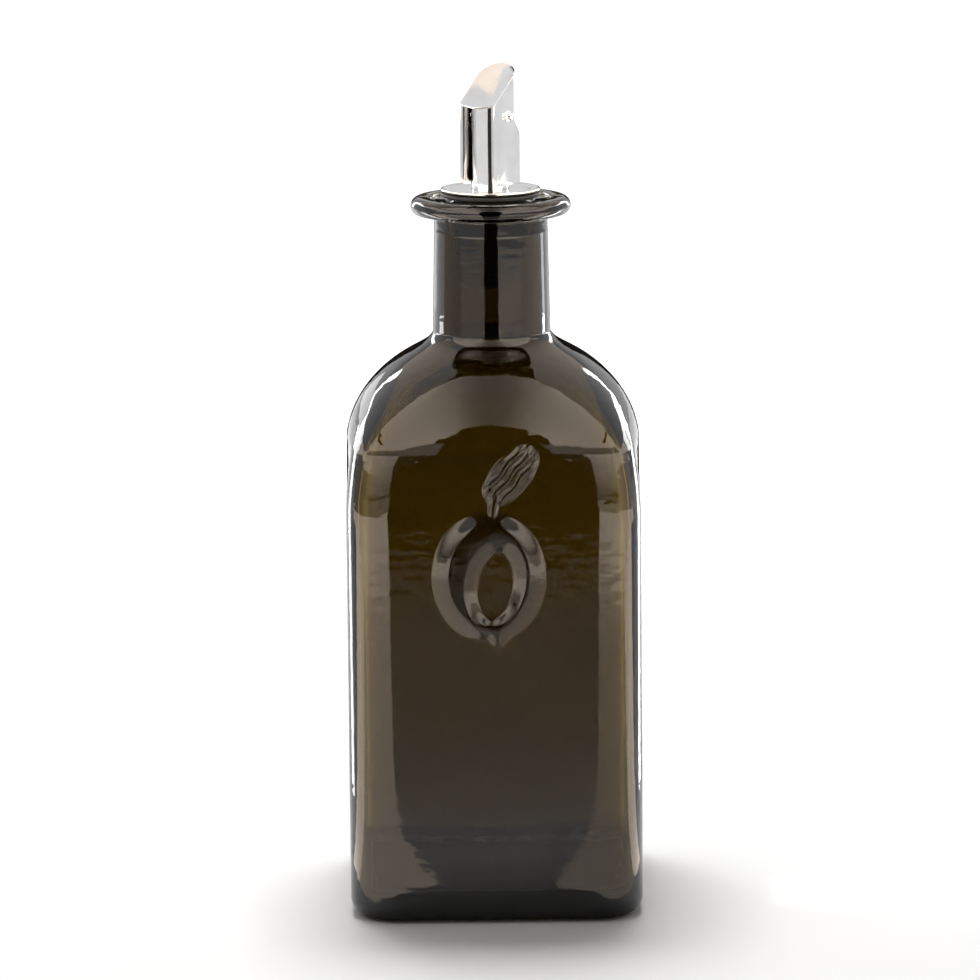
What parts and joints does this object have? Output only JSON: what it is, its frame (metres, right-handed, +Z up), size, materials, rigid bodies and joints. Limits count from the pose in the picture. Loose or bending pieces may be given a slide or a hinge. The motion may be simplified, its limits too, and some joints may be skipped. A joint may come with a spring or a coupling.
{
  "type": "oil bottle",
  "caption": "Square dark glass oil bottle with rounded shoulders, ring lip and embossed olive, closed by a steel pourer with a hinged flap on a black stopper.",
  "frame": {"origin": "middle of the part's footprint on the surface that the bottle stands on", "axes": "+Z up along the bottle, -Y towards the embossed front, +X to the right as seen from the front"},
  "size_m": [0.082, 0.0838, 0.2348],
  "materials": {
    "dark_glass": "glossy, nearly opaque olive brown",
    "polished_steel": "polished",
    "black_rubber": "matt"
  },
  "bodies": {
    "bottle": {"glass_bottle": "dark_glass", "pourer_stopper": "black_rubber", "pourer_disc": "polished_steel", "pourer_tube": "polished_steel"},
    "flap": {"pour_flap": "polished_steel", "rivet_left": "polished_steel", "rivet_right": "polished_steel"}
  },
  "joints": [
    {"name": "flap_hinge", "type": "hinge", "parent": "bottle", "child": "flap", "pos_m": [0, 0.0009, 0.221], "axis": [0.8387, -0.5446, 0], "range_deg": [0, 55]}
  ]
}
